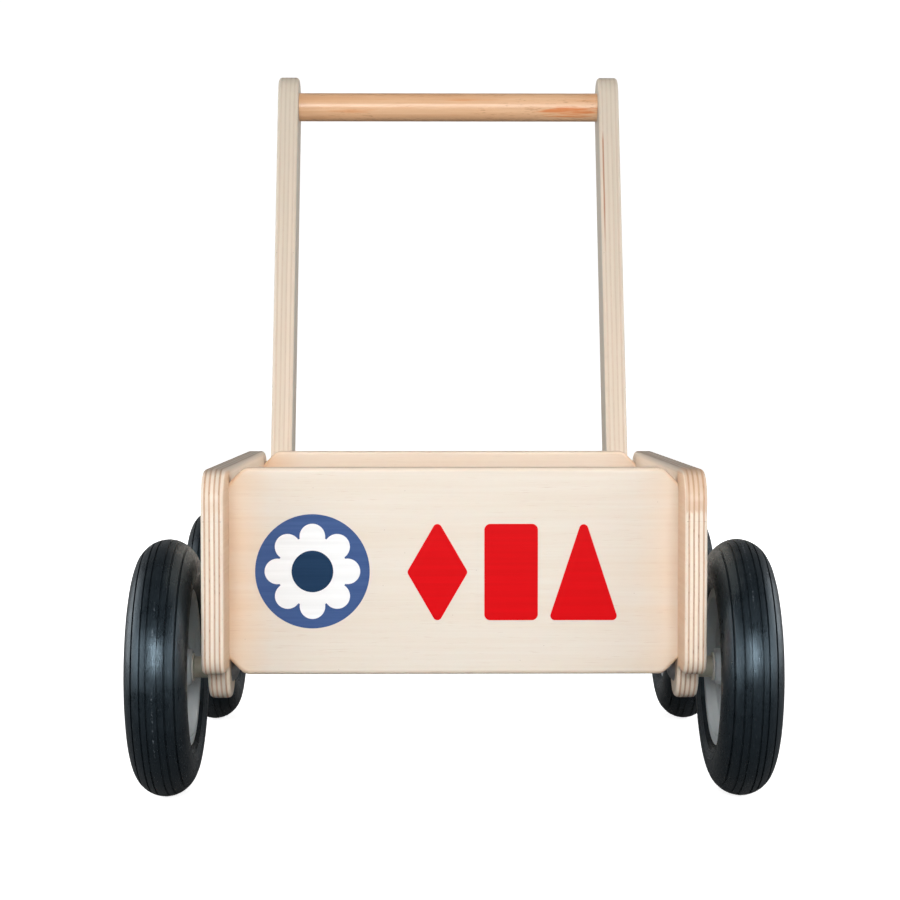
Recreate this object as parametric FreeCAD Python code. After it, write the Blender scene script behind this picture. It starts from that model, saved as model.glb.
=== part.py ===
import FreeCAD, Part
import math
import os

# Baby walker: a plywood push wagon on four rubber-tyred wheels, with a handle bar on two leaning uprights.
# Millimetres. X runs across the wagon, Y from its nose (-Y) to the handle (+Y), and Z up from the floor.
# The parts are laid out with y = 0 at the front panel's outer face. save() then moves each of them so that
# the origin lies on the floor, below the middle of the whole wagon.

Vector = FreeCAD.Vector

# Driving dimensions: box
PLY = 15.0                # thickness of the box's four walls
ARRIS = 3.0               # round-over of the plywood edges
CARGO_WIDTH = 302.0       # between the side panels
CARGO_LENGTH = 267.0      # between the front and rear panels
BOX_TOP = 225.0
PANEL_BOTTOM = 85.5       # lower edge of the front and rear panels
PANEL_CHAMFER = 10.0      # cut off each corner of the front and rear panels
PANEL_CORNER = 9.0        # radius that blends the chamfer into the long edges
TONGUE = 5.0              # depth that a panel's end is housed in the side panel
TONGUE_SHOULDER = 3.0     # the tongue is thinner than its panel by this much on each face
FLOOR_BOTTOM = 98.0
FLOOR_THICKNESS = 12.0

# Driving dimensions: side panels, seen from the side
SIDE_BOTTOM = 89.5
NOSE = 37.0               # the side panels run this far ahead of the front panel
NOSE_TOP_RADIUS = 21.0
NOSE_BOTTOM_RADIUS = 12.0
TAIL_TOP = 306.0          # y where the top edge would meet the sloping tail edge
TAIL_TOP_RADIUS = 32.0
TAIL_CORNER_RADIUS = 25.0
TAIL_OVERHANG = 40.0      # the side panels end this far behind the rear axle
TAIL_BOTTOM_RADIUS = 12.0
LOBE_RADIUS = 21.0        # round lobe that carries each axle bolt
LOBE_FILLET = 5.0

# Driving dimensions: handle
LEAN = math.radians(16.5)
UPRIGHT_PLY = 18.0        # thickness of the uprights' plywood
UPRIGHT_WIDTH = 45.0
HANDLE_REACH = 458.0      # from the rear axle to the handle bar, along the upright
UPRIGHT_HEAD = 4.0        # from the handle bar to the centre of the upright's round top
BAR_RADIUS = 12.5
BAR_SEAT = 8.0            # depth of the blind bore that holds each end of the bar
SECOND_BOLT_REACH = 48.0  # from the rear axle to the upper upright bolt, along the upright

# Driving dimensions: wheels
WHEEL_RADIUS = 87.5
TYRE_WIDTH = 41.0
TRACK = 390.0             # between the middle planes of the left and right tyres
FRONT_AXLE = 23.0
WHEELBASE = 309.0
AXLE_RADIUS = 4.0
RUNNING_GAP = 0.05        # radial play between the axle bolt and the bush
GLUE_GAP = 0.05           # radial play round every fixed pin
END_PLAY = 0.3            # axial play at each end of the hub

# Driving dimensions: fasteners. A screw is its length, shank radius and head radius.
PANEL_SCREW = (50.0, 3.3, 5.0)
FLOOR_SCREW = (42.0, 2.2, 4.2)
HANDLE_SCREW = (48.0, 2.5, 4.8)
HEAD_RIM = 0.8            # straight rim of a countersunk head
SOCKET_DEPTH = 2.2        # hexagon socket in a countersunk head
SOCKET_SHARE = 0.8        # its width across flats, as a share of the head's radius
POINT_LENGTH = 4.0
POINT_RADIUS = 0.8
PANEL_SCREW_HEIGHTS = (122.0, 190.0)
FLOOR_SCREW_SHARES = (0.18, 0.5, 0.82)   # of the cargo length
AXLE_HEAD = (5.0, 10.0)   # height and radius of a dome head
SLEEVE_HEAD = (2.5, 7.5)
AXLE_NECK = 8.0           # across the square neck
AXLE_NECK_LENGTH = 4.5
SLEEVE_RADIUS = 4.0
SLEEVE_BOLT_RADIUS = 3.0
SLEEVE_STOP = 2.0         # wood left under the end of the sleeve's bore

# Derived places
SIDE_INNER = CARGO_WIDTH / 2
SIDE_OUTER = SIDE_INNER + PLY
UPRIGHT_INNER = SIDE_INNER - UPRIGHT_PLY
REAR_PANEL = PLY + CARGO_LENGTH
REAR_AXLE = FRONT_AXLE + WHEELBASE
WHEEL_MIDDLE = TRACK / 2
TAIL_END = REAR_AXLE + TAIL_OVERHANG


def along_upright(distance):
    """Point on the upright's centre line, at this distance from the rear axle."""
    y = REAR_AXLE + distance * math.sin(LEAN)
    z = WHEEL_RADIUS + distance * math.cos(LEAN)
    return y, z


BAR_Y, BAR_Z = along_upright(HANDLE_REACH)
SECOND_Y, SECOND_Z = along_upright(SECOND_BOLT_REACH)
HEAD_Y, HEAD_Z = along_upright(HANDLE_REACH + UPRIGHT_HEAD)
PANEL_SCREWS = [(y + PLY / 2, z) for y in (0.0, REAR_PANEL) for z in PANEL_SCREW_HEIGHTS]
FLOOR_SCREWS = [(PLY + CARGO_LENGTH * s, FLOOR_BOTTOM + FLOOR_THICKNESS / 2) for s in FLOOR_SCREW_SHARES]
FRONT_END = FRONT_AXLE - WHEEL_RADIUS
REAR_END = HEAD_Y + UPRIGHT_WIDTH / 2
MIDDLE_Y = (FRONT_END + REAR_END) / 2


# ---------------------------------------------------------------- outlines and solids

def in_yz(x):
    """Maps (u, v) to the plane at this x, as (y, z)."""
    return lambda u, v: Vector(x, u, v)


def in_xz(y):
    """Maps (u, v) to the plane at this y, as (x, z)."""
    return lambda u, v: Vector(u, y, v)


def corner(before, point, after, radius):
    """Start, middle and end of the arc that rounds a corner."""
    start_way = (Vector(*before, 0) - Vector(*point, 0)).normalize()
    end_way = (Vector(*after, 0) - Vector(*point, 0)).normalize()
    half_angle = start_way.getAngle(end_way) / 2
    setback = radius / math.tan(half_angle)
    tip = Vector(*point, 0)
    bisector = (start_way + end_way).normalize()
    middle = tip + bisector * (radius / math.sin(half_angle) - radius)
    return tip + start_way * setback, middle, tip + end_way * setback


def rounded_path(points, place, closed=True):
    """Edges through (u, v, radius) corners, each rounded by its own radius. 0 leaves a corner sharp."""
    count = len(points)
    edges = []
    ends = []
    for index, (u, v, radius) in enumerate(points):
        at_an_end = not closed and index in (0, count - 1)
        if radius == 0 or at_an_end:
            ends.append((Vector(u, v, 0), Vector(u, v, 0)))
            continue
        before = points[index - 1][:2]
        after = points[(index + 1) % count][:2]
        start, middle, end = corner(before, (u, v), after, radius)
        edges.append(Part.Arc(place(*start[:2]), place(*middle[:2]), place(*end[:2])).toShape())
        ends.append((start, end))
    spans = count if closed else count - 1
    for index in range(spans):
        start = ends[index][1]
        end = ends[(index + 1) % count][0]
        if (end - start).Length > 1e-6:
            edges.append(Part.LineSegment(place(*start[:2]), place(*end[:2])).toShape())
    return edges


def prism(edges, direction):
    """Extrudes the face that these edges enclose."""
    wire = Part.Wire(Part.__sortEdges__(edges))
    return Part.Face(wire).extrude(direction)


def soften(solid, radius, is_edge):
    """Rounds over the chosen edges."""
    return solid.makeFillet(radius, [edge for edge in solid.Edges if is_edge(edge)])


def turned(profile, y, z):
    """Solid of revolution about the X-parallel line through (y, z). The profile is (x, radius) points."""
    points = [Vector(x, 0, radius) for x, radius in profile]
    face = Part.Face(Part.makePolygon(points + points[:1]))
    solid = face.revolve(Vector(0, 0, 0), Vector(1, 0, 0), 360)
    solid.translate(Vector(0, y, z))
    return solid


def rod(x_start, x_end, radius, y, z):
    """Round bar along X."""
    return Part.makeCylinder(radius, x_end - x_start, Vector(x_start, y, z), Vector(1, 0, 0))


def hexagon(x_start, x_end, across_flats, y, z):
    """Six-sided bar along X, with two flats facing forward and back."""
    reach = across_flats / math.sqrt(3)
    turns = [math.radians(60 * step) for step in range(6)]
    rim = [Vector(x_start, y + reach * math.sin(a), z + reach * math.cos(a)) for a in turns]
    return Part.Face(Part.makePolygon(rim + rim[:1])).extrude(Vector(x_end - x_start, 0, 0))


def mirrored(shape):
    """The same piece for the left side."""
    return shape.mirror(Vector(0, 0, 0), Vector(1, 0, 0))


def both_sides(shapes):
    """The right-hand pieces and their left-hand twins, as one group of separate solids."""
    return Part.makeCompound(shapes + [mirrored(shape) for shape in shapes])


def save(name, shape):
    """Moves the shape to the wagon's own origin and writes it."""
    moved = shape.copy()
    moved.translate(Vector(0, -MIDDLE_Y, 0))
    if not moved.isValid():
        raise ValueError(name + " is not a valid shape")
    moved.exportStep("parts/" + name + ".step")


# ---------------------------------------------------------------- fasteners, all along X on the right side

def countersunk_screw(outer_x, size, y, z, grow=0.0):
    """Wood screw driven inwards from outer_x, flush with it. grow makes it a cutter for its own hole."""
    length, shank_radius, head_radius = size
    tip = outer_x - length
    head_end = outer_x - HEAD_RIM
    profile = [
        (outer_x, 0), (outer_x, head_radius + grow), (head_end, head_radius + grow),
        (head_end - head_radius + shank_radius, shank_radius + grow),
        (tip + POINT_LENGTH, shank_radius + grow), (tip - grow, POINT_RADIUS + grow), (tip - grow, 0),
    ]
    screw = turned(profile, y, z)
    if grow:
        return screw
    return screw.cut(hexagon(outer_x - SOCKET_DEPTH, outer_x + 1, SOCKET_SHARE * head_radius, y, z))


def panel_screw(y, z, grow=0.0):
    """Connector screw that ties a side panel to the end of the front or rear panel."""
    return countersunk_screw(SIDE_OUTER, PANEL_SCREW, y, z, grow)


def floor_screw(y, z, grow=0.0):
    """Wood screw that ties a side panel to the floor's edge."""
    return countersunk_screw(SIDE_OUTER, FLOOR_SCREW, y, z, grow)


def handle_screw(grow=0.0):
    """Wood screw through the upright into the end of the handle bar."""
    return countersunk_screw(SIDE_INNER, HANDLE_SCREW, BAR_Y, BAR_Z, grow)


def dome_head(base_x, size, way, y, z):
    """Domed bolt head that stands off the plane at base_x towards way (-1 or 1)."""
    height, radius = size
    ball_radius = (radius ** 2 + height ** 2) / (2 * height)
    ball = Part.makeSphere(ball_radius, Vector(base_x + way * (height - ball_radius), y, z))
    slab_start = min(base_x, base_x + way * height)
    return ball.common(rod(slab_start, slab_start + height, radius, y, z))


def axle_bolt(head_x, y, grow=0.0):
    """Carriage bolt that is the wheel's axle: dome head inside, square neck, round shank to the outer nut."""
    neck = AXLE_NECK + 2 * grow
    z = WHEEL_RADIUS
    shank = rod(head_x, BOLT_END, AXLE_RADIUS + grow, y, z)
    square = Part.makeBox(AXLE_NECK_LENGTH, neck, neck, Vector(head_x, y - neck / 2, z - neck / 2))
    if grow:
        return shank.fuse(square)
    return dome_head(head_x, AXLE_HEAD, -1, y, z).fuse([shank, square]).removeSplitter()


def upright_bolt():
    """Upper bolt through the side panel, screwed into the sleeve nut in the upright."""
    shank = rod(UPRIGHT_INNER + 5.0, SIDE_OUTER, SLEEVE_BOLT_RADIUS, SECOND_Y, SECOND_Z)
    return dome_head(SIDE_OUTER, SLEEVE_HEAD, 1, SECOND_Y, SECOND_Z).fuse(shank).removeSplitter()


def sleeve_nut():
    """Flanged sleeve in the upright's inner face, bored for the upper bolt."""
    sleeve = rod(UPRIGHT_INNER, SIDE_INNER - 1.5 * SLEEVE_STOP, SLEEVE_RADIUS, SECOND_Y, SECOND_Z)
    bore = rod(UPRIGHT_INNER + 1.0, SIDE_INNER, SLEEVE_BOLT_RADIUS + GLUE_GAP, SECOND_Y, SECOND_Z)
    head = dome_head(UPRIGHT_INNER, SLEEVE_HEAD, -1, SECOND_Y, SECOND_Z)
    return head.fuse(sleeve.cut(bore)).removeSplitter()


# ---------------------------------------------------------------- right-hand wheel, from its middle plane

SPACER_RADIUS = 7.25
SPACER_END = 177.0
HUB_START = SPACER_END + END_PLAY
HUB_END = 198.0
WASHER_START = HUB_END + END_PLAY
WASHER_END = WASHER_START + 1.6
NUT_END = WASHER_END + 6.5
BOLT_END = NUT_END + 1.0  # the bolt's end shows one millimetre past the nut
BUSH_RADIUS = 6.5
RIM_RADIUS = 54.0
TYRE_SEAT_RADIUS = 50.0
TYRE_SEAT = 13.5          # half the width of the rim's channel
FLANGE = 16.0             # half the width of the rim
CAP_SEAT_RADIUS = 17.0
WASHER_RADIUS = 8.5
NUT_WIDTH = 13.0          # across flats


def rim(y):
    """Moulded wheel: channel for the tyre, dished web, hub and the collar that holds the cap."""
    middle = WHEEL_MIDDLE
    hub_in = HUB_START + 1.0 - middle
    hub_out = HUB_END - middle
    lip = [
        (FLANGE, 47.0), (FLANGE, 53.2), (FLANGE - 0.7, RIM_RADIUS), (TYRE_SEAT + 0.7, RIM_RADIUS),
        (TYRE_SEAT, 53.2), (TYRE_SEAT, TYRE_SEAT_RADIUS),
    ]
    section = [
        (hub_in, BUSH_RADIUS), (hub_in, 11.0), (hub_in + 1.0, 12.0), (-6.0, 13.0), (-5.5, 15.0),
        (-9.0, 43.0), (-13.0, 46.0), *[(-x, radius) for x, radius in lip], *lip[::-1],
        (13.0, 46.0), (-3.5, 43.0), (-0.5, 20.5), (10.0, 20.5), (10.0, CAP_SEAT_RADIUS),
        (0.0, CAP_SEAT_RADIUS), (0.5, 12.0), (hub_out - 0.5, 12.0), (hub_out, 11.5),
        (hub_out, BUSH_RADIUS),
    ]
    return turned([(middle + x, radius) for x, radius in section], y, WHEEL_RADIUS)


def tyre(y):
    """Solid balloon tyre: half-round crown, full side walls and a flat base in the rim's channel."""
    half_width = TYRE_WIDTH / 2
    base_half_width = TYRE_SEAT
    seat = TYRE_SEAT_RADIUS
    wall_foot = RIM_RADIUS + 0.2
    widest = WHEEL_RADIUS - half_width
    drop = widest - wall_foot
    inset = half_width - base_half_width
    wall_radius = (drop ** 2 + inset ** 2) / (2 * inset)
    half_turn = math.asin(drop / wall_radius) / 2
    wall_x = half_width - wall_radius + wall_radius * math.cos(half_turn)
    wall_z = widest - wall_radius * math.sin(half_turn)

    def at(x, radius):
        return Vector(WHEEL_MIDDLE + x, 0, radius)

    edges = [
        Part.LineSegment(at(-base_half_width, seat), at(base_half_width, seat)).toShape(),
        Part.LineSegment(at(base_half_width, seat), at(base_half_width, wall_foot)).toShape(),
        Part.Arc(at(base_half_width, wall_foot), at(wall_x, wall_z), at(half_width, widest)).toShape(),
        Part.Arc(at(half_width, widest), at(0, WHEEL_RADIUS), at(-half_width, widest)).toShape(),
        Part.Arc(at(-half_width, widest), at(-wall_x, wall_z), at(-base_half_width, wall_foot)).toShape(),
        Part.LineSegment(at(-base_half_width, wall_foot), at(-base_half_width, seat)).toShape(),
    ]
    face = Part.Face(Part.Wire(edges))
    solid = face.revolve(Vector(0, 0, 0), Vector(1, 0, 0), 360)
    solid.translate(Vector(0, y, WHEEL_RADIUS))
    return solid


def axle_ring(x_start, x_end, radius, y):
    """Spacer or washer, bored for the axle bolt."""
    bore = rod(x_start, x_end, AXLE_RADIUS + GLUE_GAP, y, WHEEL_RADIUS)
    return rod(x_start, x_end, radius, y, WHEEL_RADIUS).cut(bore)


def axle_nut(y):
    """Hexagon nut that holds the washer, bored for the axle bolt."""
    bore = rod(WASHER_END, NUT_END, AXLE_RADIUS + GLUE_GAP, y, WHEEL_RADIUS)
    return hexagon(WASHER_END, NUT_END, NUT_WIDTH, y, WHEEL_RADIUS).cut(bore)


def bush(y):
    """Flanged nylon sleeve pressed into the hub."""
    bore = AXLE_RADIUS + RUNNING_GAP
    section = [
        (HUB_START, bore), (HUB_START, 9.5), (HUB_START + 1.0, 9.5), (HUB_START + 1.0, BUSH_RADIUS),
        (HUB_END, BUSH_RADIUS), (HUB_END, bore),
    ]
    return turned(section, y, WHEEL_RADIUS)


def hub_cap(y):
    """Snap-in cap over the axle nut: a thin skirt in the collar and a shallow domed face."""
    skirt = CAP_SEAT_RADIUS - GLUE_GAP
    face_x = WHEEL_MIDDLE + 10.0
    section = [
        (face_x - 6.0, skirt - 1.5), (face_x - 6.0, skirt), (face_x, skirt), (face_x, 20.5),
        (face_x + 1.5, 20.5), (face_x + 3.5, 18.5), (face_x + 5.5, 12.0), (face_x + 6.5, 0),
        (face_x + 5.0, 0), (face_x + 4.0, 11.0), (face_x + 1.0, skirt - 1.5),
    ]
    return turned(section, y, WHEEL_RADIUS)


# ---------------------------------------------------------------- plywood pieces and handle

def lobe(axle_y):
    """Edges round one axle lobe, from the bottom edge ahead of it to the bottom edge behind it."""
    place = in_yz(SIDE_INNER)
    fillet_z = SIDE_BOTTOM - LOBE_FILLET
    reach = LOBE_RADIUS + LOBE_FILLET
    fillet_dy = math.sqrt(reach ** 2 - (WHEEL_RADIUS - fillet_z) ** 2)
    share = LOBE_RADIUS / reach
    join_dy = fillet_dy * share
    join_z = WHEEL_RADIUS + (fillet_z - WHEEL_RADIUS) * share
    to_line = Vector(0, LOBE_FILLET, 0)
    to_lobe = Vector(join_dy - fillet_dy, join_z - fillet_z, 0)
    to_middle = (to_line + to_lobe).normalize() * LOBE_FILLET
    mid_dy = fillet_dy + to_middle.x
    mid_z = fillet_z + to_middle.y
    edges = [Part.Arc(
        place(axle_y - join_dy, join_z),
        place(axle_y, WHEEL_RADIUS - LOBE_RADIUS),
        place(axle_y + join_dy, join_z),
    ).toShape()]
    for way in (-1, 1):
        edges.append(Part.Arc(
            place(axle_y + way * fillet_dy, SIDE_BOTTOM),
            place(axle_y + way * mid_dy, mid_z),
            place(axle_y + way * join_dy, join_z),
        ).toShape())
    return edges, fillet_dy


def side_blank():
    """Right side panel before its grooves and holes: nose, top edge, sloping tail and two axle lobes."""
    place = in_yz(SIDE_INNER)
    front_lobe, lobe_reach = lobe(FRONT_AXLE)
    rear_lobe = lobe(REAR_AXLE)[0]
    slope = BOX_TOP - (TAIL_END - TAIL_TOP)
    upper = [
        (REAR_AXLE + lobe_reach, SIDE_BOTTOM, 0),
        (TAIL_END, SIDE_BOTTOM, TAIL_BOTTOM_RADIUS),
        (TAIL_END, slope, TAIL_CORNER_RADIUS),
        (TAIL_TOP, BOX_TOP, TAIL_TOP_RADIUS),
        (-NOSE, BOX_TOP, NOSE_TOP_RADIUS),
        (-NOSE, SIDE_BOTTOM, NOSE_BOTTOM_RADIUS),
        (FRONT_AXLE - lobe_reach, SIDE_BOTTOM, 0),
    ]
    belly = Part.LineSegment(
        place(FRONT_AXLE + lobe_reach, SIDE_BOTTOM), place(REAR_AXLE - lobe_reach, SIDE_BOTTOM)
    ).toShape()
    edges = rounded_path(upper, place, closed=False) + front_lobe + rear_lobe + [belly]
    blank = prism(edges, Vector(PLY, 0, 0))
    return soften(blank, ARRIS, lambda edge: edge.BoundBox.XLength < 1e-6)


def tongues(y):
    """The two ends of a panel that are housed in the side panels."""
    height = BOX_TOP - PANEL_BOTTOM - 2 * PANEL_CHAMFER
    start = Vector(SIDE_INNER, y + TONGUE_SHOULDER, PANEL_BOTTOM + PANEL_CHAMFER)
    right = Part.makeBox(TONGUE, PLY - 2 * TONGUE_SHOULDER, height, start)
    return [right, mirrored(right)]


def cross_panel(y):
    """Front or rear panel: chamfered corners, rounded long edges and a tongue at each end."""
    half = SIDE_INNER
    cut = PANEL_CHAMFER
    outline = []
    for way_x, way_z in ((-1, -1), (1, -1), (1, 1), (-1, 1)):
        edge_z = PANEL_BOTTOM if way_z < 0 else BOX_TOP
        on_side = (way_x * half, edge_z - way_z * cut, 0)
        on_edge = (way_x * (half - cut), edge_z, PANEL_CORNER)
        outline += [on_side, on_edge] if way_x * way_z > 0 else [on_edge, on_side]
    plate = prism(rounded_path(outline, in_xz(y)), Vector(0, PLY, 0))

    def is_long_edge(edge):
        return edge.BoundBox.YLength < 1e-6 and edge.BoundBox.XLength > 0.1

    return soften(plate, ARRIS, is_long_edge).fuse(tongues(y)).removeSplitter()


def floor_panel():
    """Cargo floor, between the four walls."""
    size = (CARGO_WIDTH, CARGO_LENGTH, FLOOR_THICKNESS)
    return Part.makeBox(*size, Vector(-SIDE_INNER, PLY, FLOOR_BOTTOM))


def upright_blank():
    """Right upright, inside the side panel: a straight bar with two round ends, leaning back."""
    place = in_yz(UPRIGHT_INNER)
    radius = UPRIGHT_WIDTH / 2
    reach = HANDLE_REACH + UPRIGHT_HEAD
    edges = [
        Part.Arc(place(-radius, 0), place(0, -radius), place(radius, 0)).toShape(),
        Part.LineSegment(place(radius, 0), place(radius, reach)).toShape(),
        Part.Arc(place(radius, reach), place(0, reach + radius), place(-radius, reach)).toShape(),
        Part.LineSegment(place(-radius, reach), place(-radius, 0)).toShape(),
    ]
    bar = soften(prism(edges, Vector(UPRIGHT_PLY, 0, 0)), ARRIS, lambda edge: edge.BoundBox.XLength < 1e-6)
    bar.rotate(Vector(0, 0, 0), Vector(1, 0, 0), -math.degrees(LEAN))
    bar.translate(Vector(0, REAR_AXLE, WHEEL_RADIUS))
    return bar


def bar_blank():
    """Turned beech dowel between the uprights."""
    half = UPRIGHT_INNER + BAR_SEAT
    return rod(-half, half, BAR_RADIUS, BAR_Y, BAR_Z)


# ---------------------------------------------------------------- front decals: thin vinyl, all generic

FILM = 0.2
BADGE_X = -95.0
BADGE_Z = 155.3
BADGE_RADIUS = 38.5
FLOWER_RADIUS = 23.5
PETAL_RADIUS = 8.6
PETALS = 8
FLOWER_CENTRE = 14.0
SHAPE_MIDDLE_Z = 154.7
SHAPE_HEIGHT = 65.0


def film(edges):
    """Extrudes an outline on the front face by the thickness of the vinyl."""
    return prism(edges, Vector(0, -FILM, 0))


def badge_disc(radius, layer):
    """Round vinyl piece on the badge, above this many other layers."""
    start = Vector(BADGE_X, -FILM * layer, BADGE_Z)
    return Part.makeCylinder(radius, FILM, start, Vector(0, -1, 0))


def badge_flower():
    """White flower with round petals."""
    petals = []
    for step in range(PETALS):
        angle = 2 * math.pi * step / PETALS
        petal = badge_disc(PETAL_RADIUS, 1)
        petal.translate(Vector(FLOWER_RADIUS * math.sin(angle), 0, FLOWER_RADIUS * math.cos(angle)))
        petals.append(petal)
    return badge_disc(FLOWER_RADIUS, 1).fuse(petals).removeSplitter()


def shape_outline(corners, radius):
    """Rounded outline of a red play shape, from corners measured from the shapes' middle height."""
    points = [(x, SHAPE_MIDDLE_Z + dz, radius) for x, dz in corners]
    return film(rounded_path(points, in_xz(0)))


def play_shapes():
    """Diamond, block and triangle. The sharp tips reach further, since their rounding takes some off."""
    half = SHAPE_HEIGHT / 2
    diamond_x, diamond_half, diamond_tip = -11.0, 20.5, 35.4
    block_x, block_half = 38.6, 18.0
    peak_x, peak_half, peak_tip = 87.4, 23.5, 38.8
    diamond = shape_outline([
        (diamond_x, -diamond_tip), (diamond_x + diamond_half, 0),
        (diamond_x, diamond_tip), (diamond_x - diamond_half, 0),
    ], 3.0)
    block = shape_outline([
        (block_x - block_half, -half), (block_x + block_half, -half),
        (block_x + block_half, half), (block_x - block_half, half),
    ], 4.0)
    peak = shape_outline([(peak_x - peak_half, -half), (peak_x + peak_half, -half), (peak_x, peak_tip)], 3.0)
    return {"decal_diamond": diamond, "decal_block": block, "decal_triangle": peak}


# ---------------------------------------------------------------- assembly, with grown fasteners as cutters

def box_pieces():
    """Side panels, front and rear panels, and floor, with their grooves and holes."""
    panel_holes = [panel_screw(y, z, GLUE_GAP) for y, z in PANEL_SCREWS]
    floor_holes = [floor_screw(y, z, GLUE_GAP) for y, z in FLOOR_SCREWS]
    axle_bores = [axle_bolt(SIDE_INNER, FRONT_AXLE, GLUE_GAP), axle_bolt(UPRIGHT_INNER, REAR_AXLE, GLUE_GAP)]
    second_bore = rod(SIDE_INNER, SIDE_OUTER, SLEEVE_BOLT_RADIUS + GLUE_GAP, SECOND_Y, SECOND_Z)
    grooves = [tongues(0.0)[0], tongues(REAR_PANEL)[0]]
    side = side_blank().cut(grooves + axle_bores + [second_bore] + panel_holes + floor_holes)
    end_holes = panel_holes + [mirrored(hole) for hole in panel_holes]
    return {
        "side_panel_right": side,
        "side_panel_left": mirrored(side),
        "front_panel": cross_panel(0.0).cut(end_holes),
        "rear_panel": cross_panel(REAR_PANEL).cut(end_holes),
        "floor_panel": floor_panel().cut(floor_holes + [mirrored(hole) for hole in floor_holes]),
    }


def handle_pieces():
    """Uprights and the bar between them, with their bores."""
    sleeve_end = SIDE_INNER - SLEEVE_STOP
    screw_hole = handle_screw(GLUE_GAP)
    upright = upright_blank().cut([
        axle_bolt(UPRIGHT_INNER, REAR_AXLE, GLUE_GAP),
        rod(UPRIGHT_INNER, sleeve_end, SLEEVE_RADIUS + GLUE_GAP, SECOND_Y, SECOND_Z),
        rod(sleeve_end, SIDE_INNER, SLEEVE_BOLT_RADIUS + GLUE_GAP, SECOND_Y, SECOND_Z),
        rod(UPRIGHT_INNER, UPRIGHT_INNER + BAR_SEAT, BAR_RADIUS + GLUE_GAP, BAR_Y, BAR_Z),
        screw_hole,
    ])
    return {
        "upright_right": upright,
        "upright_left": mirrored(upright),
        "handle_bar": bar_blank().cut([screw_hole, mirrored(screw_hole)]),
    }


def fastener_groups():
    """Identical fasteners of both sides, each group of separate solids under one name."""
    axles = (FRONT_AXLE, REAR_AXLE)
    groups = {
        "panel_screws": [panel_screw(y, z) for y, z in PANEL_SCREWS],
        "floor_screws": [floor_screw(y, z) for y, z in FLOOR_SCREWS],
        "handle_screws": [handle_screw()],
        "upright_bolts": [upright_bolt()],
        "upright_sleeve_nuts": [sleeve_nut()],
        "front_axle_bolts": [axle_bolt(SIDE_INNER, FRONT_AXLE)],
        "rear_axle_bolts": [axle_bolt(UPRIGHT_INNER, REAR_AXLE)],
        "axle_spacers": [axle_ring(SIDE_OUTER, SPACER_END, SPACER_RADIUS, y) for y in axles],
        "axle_washers": [axle_ring(WASHER_START, WASHER_END, WASHER_RADIUS, y) for y in axles],
        "axle_nuts": [axle_nut(y) for y in axles],
    }
    return {name: both_sides(shapes) for name, shapes in groups.items()}


def wheel_pieces():
    """Four wheels of four pieces each."""
    pieces = {}
    for row, axle_y in (("front", FRONT_AXLE), ("rear", REAR_AXLE)):
        for kind, make in (("tyre", tyre), ("rim", rim), ("bush", bush), ("hub_cap", hub_cap)):
            shape = make(axle_y)
            pieces[f"{kind}_{row}_right"] = shape
            pieces[f"{kind}_{row}_left"] = mirrored(shape)
    return pieces


def badge_pieces():
    """The three layers of the round badge."""
    return {
        "badge_disc": badge_disc(BADGE_RADIUS, 0),
        "badge_flower": badge_flower(),
        "badge_centre": badge_disc(FLOWER_CENTRE, 2),
    }


def main():
    os.makedirs("parts", exist_ok=True)
    for group in (box_pieces, handle_pieces, fastener_groups, wheel_pieces, badge_pieces, play_shapes):
        for name, shape in group().items():
            save(name, shape)


main()
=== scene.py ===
import math
import random

import bpy
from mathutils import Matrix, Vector


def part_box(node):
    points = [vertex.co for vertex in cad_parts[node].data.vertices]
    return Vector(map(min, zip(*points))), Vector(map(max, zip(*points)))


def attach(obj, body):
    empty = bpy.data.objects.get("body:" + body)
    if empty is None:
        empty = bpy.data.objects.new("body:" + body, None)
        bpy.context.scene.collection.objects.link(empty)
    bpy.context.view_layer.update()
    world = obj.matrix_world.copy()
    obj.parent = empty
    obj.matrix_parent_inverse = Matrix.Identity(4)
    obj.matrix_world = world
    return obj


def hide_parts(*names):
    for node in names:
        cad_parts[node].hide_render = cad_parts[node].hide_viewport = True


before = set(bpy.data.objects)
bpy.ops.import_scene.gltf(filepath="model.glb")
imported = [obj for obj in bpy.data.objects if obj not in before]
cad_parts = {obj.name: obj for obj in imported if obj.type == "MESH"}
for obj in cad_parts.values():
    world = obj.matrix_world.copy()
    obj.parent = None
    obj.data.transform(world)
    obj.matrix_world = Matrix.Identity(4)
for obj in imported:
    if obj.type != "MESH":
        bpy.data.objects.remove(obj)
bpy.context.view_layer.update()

# Baby walker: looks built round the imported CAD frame. Metres, in the frame's own axes:
# X across the wagon, Y from the nose to the handle, Z up from the floor.
MM = 0.001
SIDES = (("left", -1), ("right", 1))
ROWS = ("front", "rear")


# ---------------------------------------------------------------- shader helpers

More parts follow.
